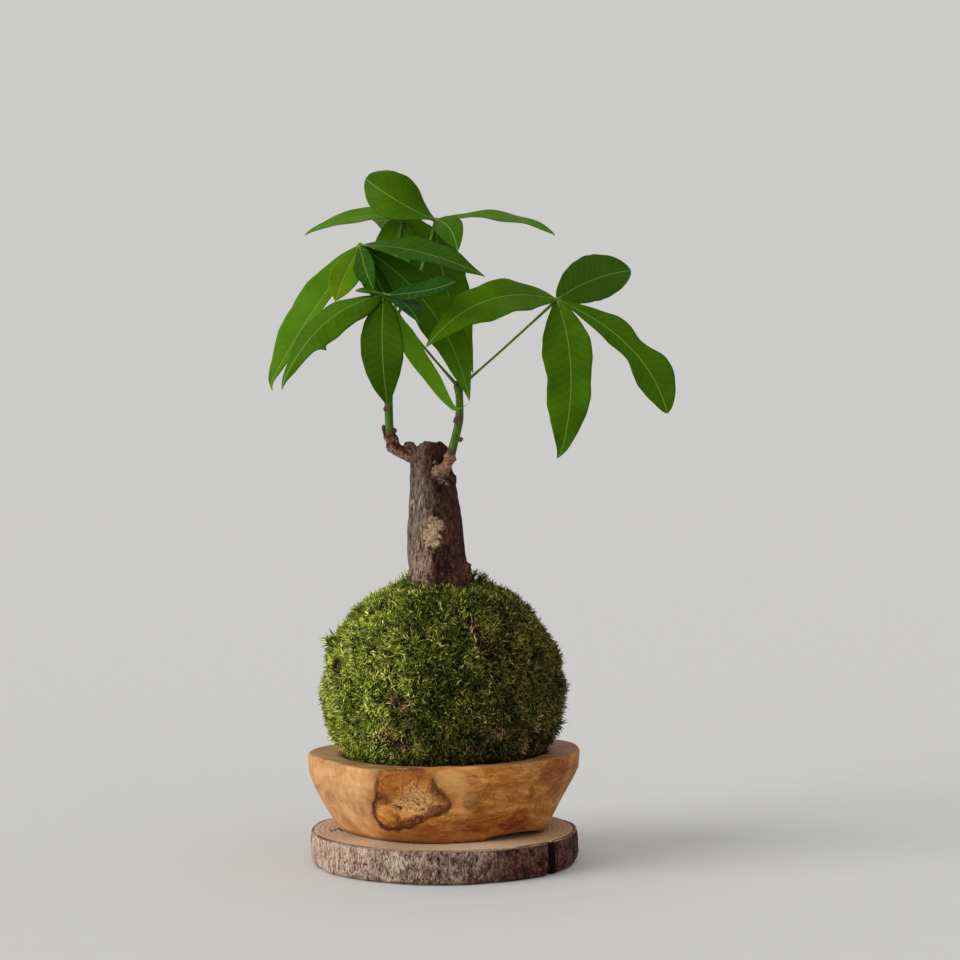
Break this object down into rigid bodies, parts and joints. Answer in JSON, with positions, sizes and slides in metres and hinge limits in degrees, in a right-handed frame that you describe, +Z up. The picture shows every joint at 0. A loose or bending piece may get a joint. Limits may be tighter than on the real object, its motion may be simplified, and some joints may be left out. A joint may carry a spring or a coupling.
{
  "type": "kokedama moss ball plant",
  "caption": "Moss-wrapped soil ball with a cut-back money tree stump and palmate leaves, seated in a carved root-wood bowl on a bark-edged wood slice.",
  "frame": {"origin": "middle of the wood slice's flat underside, on the surface that the plant stands on", "axes": "+Z up along the stump; the front, with the stump's scar and the bowl's large knot, faces -Y; +X to the right seen from the front"},
  "size_m": [0.237, 0.2029, 0.4205],
  "materials": {
    "slice_wood": "matte",
    "bowl_wood": "satin",
    "moss": "matte",
    "soil": "matte",
    "stump_bark": "matte",
    "green_stem": "satin",
    "foliage": "satin"
  },
  "bodies": {
    "root": {"wood_slice": "slice_wood", "bowl": "bowl_wood", "moss_ball": "moss", "soil_core": "soil", "trunk": "stump_bark", "shoot_left": "green_stem", "shoot_right": "green_stem", "leaf_a": "foliage", "leaf_b": "foliage", "leaf_c": "foliage", "leaf_d": "foliage", "leaf_e": "foliage"}
  },
  "joints": []
}
